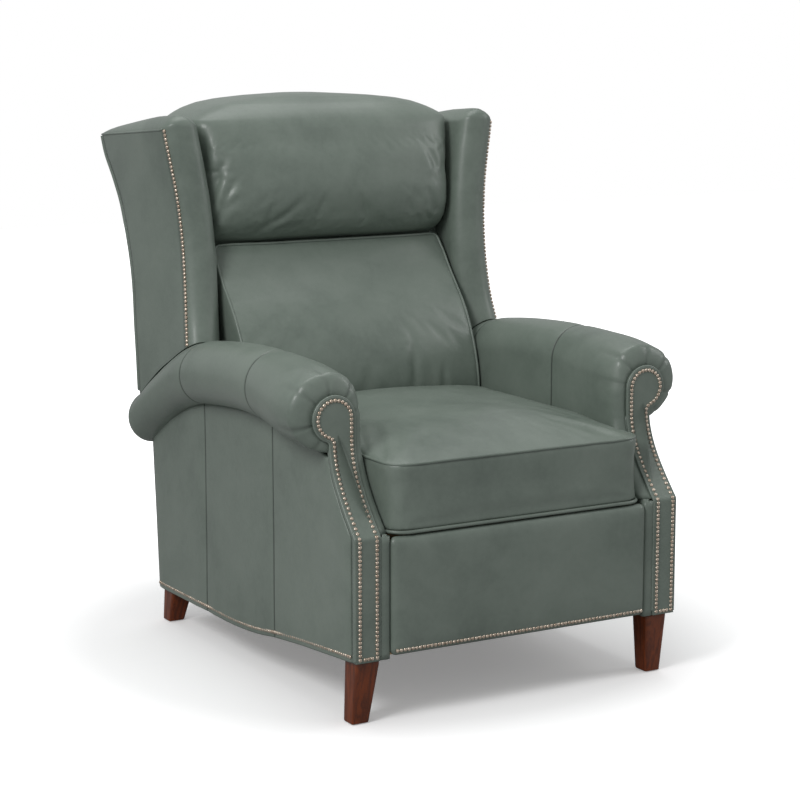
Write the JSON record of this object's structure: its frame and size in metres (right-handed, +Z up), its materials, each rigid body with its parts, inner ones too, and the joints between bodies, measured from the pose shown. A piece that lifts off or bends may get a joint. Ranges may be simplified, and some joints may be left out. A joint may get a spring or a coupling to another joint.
{
  "type": "wingback recliner",
  "caption": "High-leg wingback recliner in leather with scroll arms and nail trim; pushing the back reclines it and swings the footrest out on its links",
  "frame": {"origin": "on the floor under the middle of the chair's box, in its plane of symmetry", "axes": "+Z up, the chair faces -Y, +X is to the right of someone who looks along +Y at its front"},
  "size_m": [0.8714, 1.116, 1.13],
  "materials": {
    "leather": "aniline leather, soft sheen, pulled-up highlights on the edges",
    "nails": "warm nickel nail heads, slightly aged",
    "feet": "cherry-brown stained hardwood, satin lacquer",
    "frame_wood": "raw hardwood and plywood",
    "webbing": "elastic webbing",
    "steel": "stamped steel, dark coating"
  },
  "bodies": {
    "base": {"arm_board_left": "frame_wood", "arm_board_right": "frame_wood", "arm_posts_left": "frame_wood", "arm_posts_right": "frame_wood", "inside_arm_left": "leather", "inside_arm_right": "leather", "arm_roll_left": "leather", "arm_roll_right": "leather", "arm_front_left": "leather", "arm_front_right": "leather", "side_panel_left": "leather", "side_panel_right": "leather", "base_nails": "nails", "seat_deck": "webbing", "base_rails": "frame_wood", "rear_apron": "leather", "front_foot_left": "feet", "front_foot_right": "feet", "rear_foot_left": "feet", "rear_foot_right": "feet", "foot_bolts": "steel", "foot_glides": "steel", "side_plate_left": "steel", "side_plate_right": "steel", "plate_bolts": "steel", "fixed_pins": "steel", "seat_side_rails": "frame_wood", "seat_cross_rails": "frame_wood", "seat_spring_set": "steel", "seat_cushion": "leather"},
    "rear_links": {"rear_link_left": "steel", "rear_link_right": "steel"},
    "front_links": {"front_link_left": "steel", "front_link_right": "steel", "tie_tube": "steel"},
    "lower_bars": {"lower_bar_left": "steel", "lower_bar_right": "steel"},
    "upper_bars": {"upper_bar_left": "steel", "upper_bar_right": "steel"},
    "footrest": {"rest_bracket_left": "steel", "rest_bracket_right": "steel", "footrest_board": "frame_wood", "footrest_pad": "leather", "footrest_nails": "nails"},
    "drive_rods": {"drive_rod_left": "steel", "drive_rod_right": "steel"},
    "back": {"back_bracket_left": "steel", "back_bracket_right": "steel", "back_stiles": "frame_wood", "back_rails": "frame_wood", "back_webbing": "webbing", "wing_board_left": "frame_wood", "wing_board_right": "frame_wood", "wing_left": "leather", "wing_right": "leather", "wing_nails": "nails", "outside_back": "leather", "back_cushion": "leather", "head_pillow": "leather"}
  },
  "joints": [
    {"name": "back_recline", "type": "hinge", "parent": "base", "child": "back", "pos_m": [0, 0.195, 0.27], "axis": [-1, 0, 0], "range_deg": [0, 27]},
    {"name": "rear_link_swing", "type": "hinge", "parent": "base", "child": "rear_links", "pos_m": [0, -0.345, 0.32], "axis": [-1, 0, 0], "range_deg": [0, 90]},
    {"name": "front_link_swing", "type": "hinge", "parent": "base", "child": "front_links", "pos_m": [0, -0.38652, 0.34787], "axis": [-1, 0, 0], "range_deg": [0, 90]},
    {"name": "lower_bar_turn", "type": "hinge", "parent": "rear_links", "child": "lower_bars", "pos_m": [0, -0.2766, 0.13206], "axis": [-1, 0, 0], "range_deg": [-90, 0]},
    {"name": "upper_bar_turn", "type": "hinge", "parent": "rear_links", "child": "upper_bars", "pos_m": [0, -0.29096, 0.17153], "axis": [-1, 0, 0], "range_deg": [-90, 0]},
    {"name": "footrest_turn", "type": "hinge", "parent": "lower_bars", "child": "footrest", "pos_m": [0, -0.497, 0.28], "axis": [-1, 0, 0], "range_deg": [0, 90]},
    {"name": "drive_rod_turn", "type": "hinge", "parent": "back", "child": "drive_rods", "pos_m": [0, 0.22046, 0.16397], "axis": [-1, 0, 0], "range_deg": [-27, 0]}
  ],
  "couplings": [
    {"joint": "rear_link_swing", "follows": "back_recline", "ratio": 3.3333},
    {"joint": "front_link_swing", "follows": "back_recline", "ratio": 3.3333},
    {"joint": "lower_bar_turn", "follows": "back_recline", "ratio": -3.3333},
    {"joint": "upper_bar_turn", "follows": "back_recline", "ratio": -3.3333},
    {"joint": "footrest_turn", "follows": "back_recline", "ratio": 3.3333},
    {"joint": "drive_rod_turn", "follows": "back_recline", "ratio": -1}
  ]
}
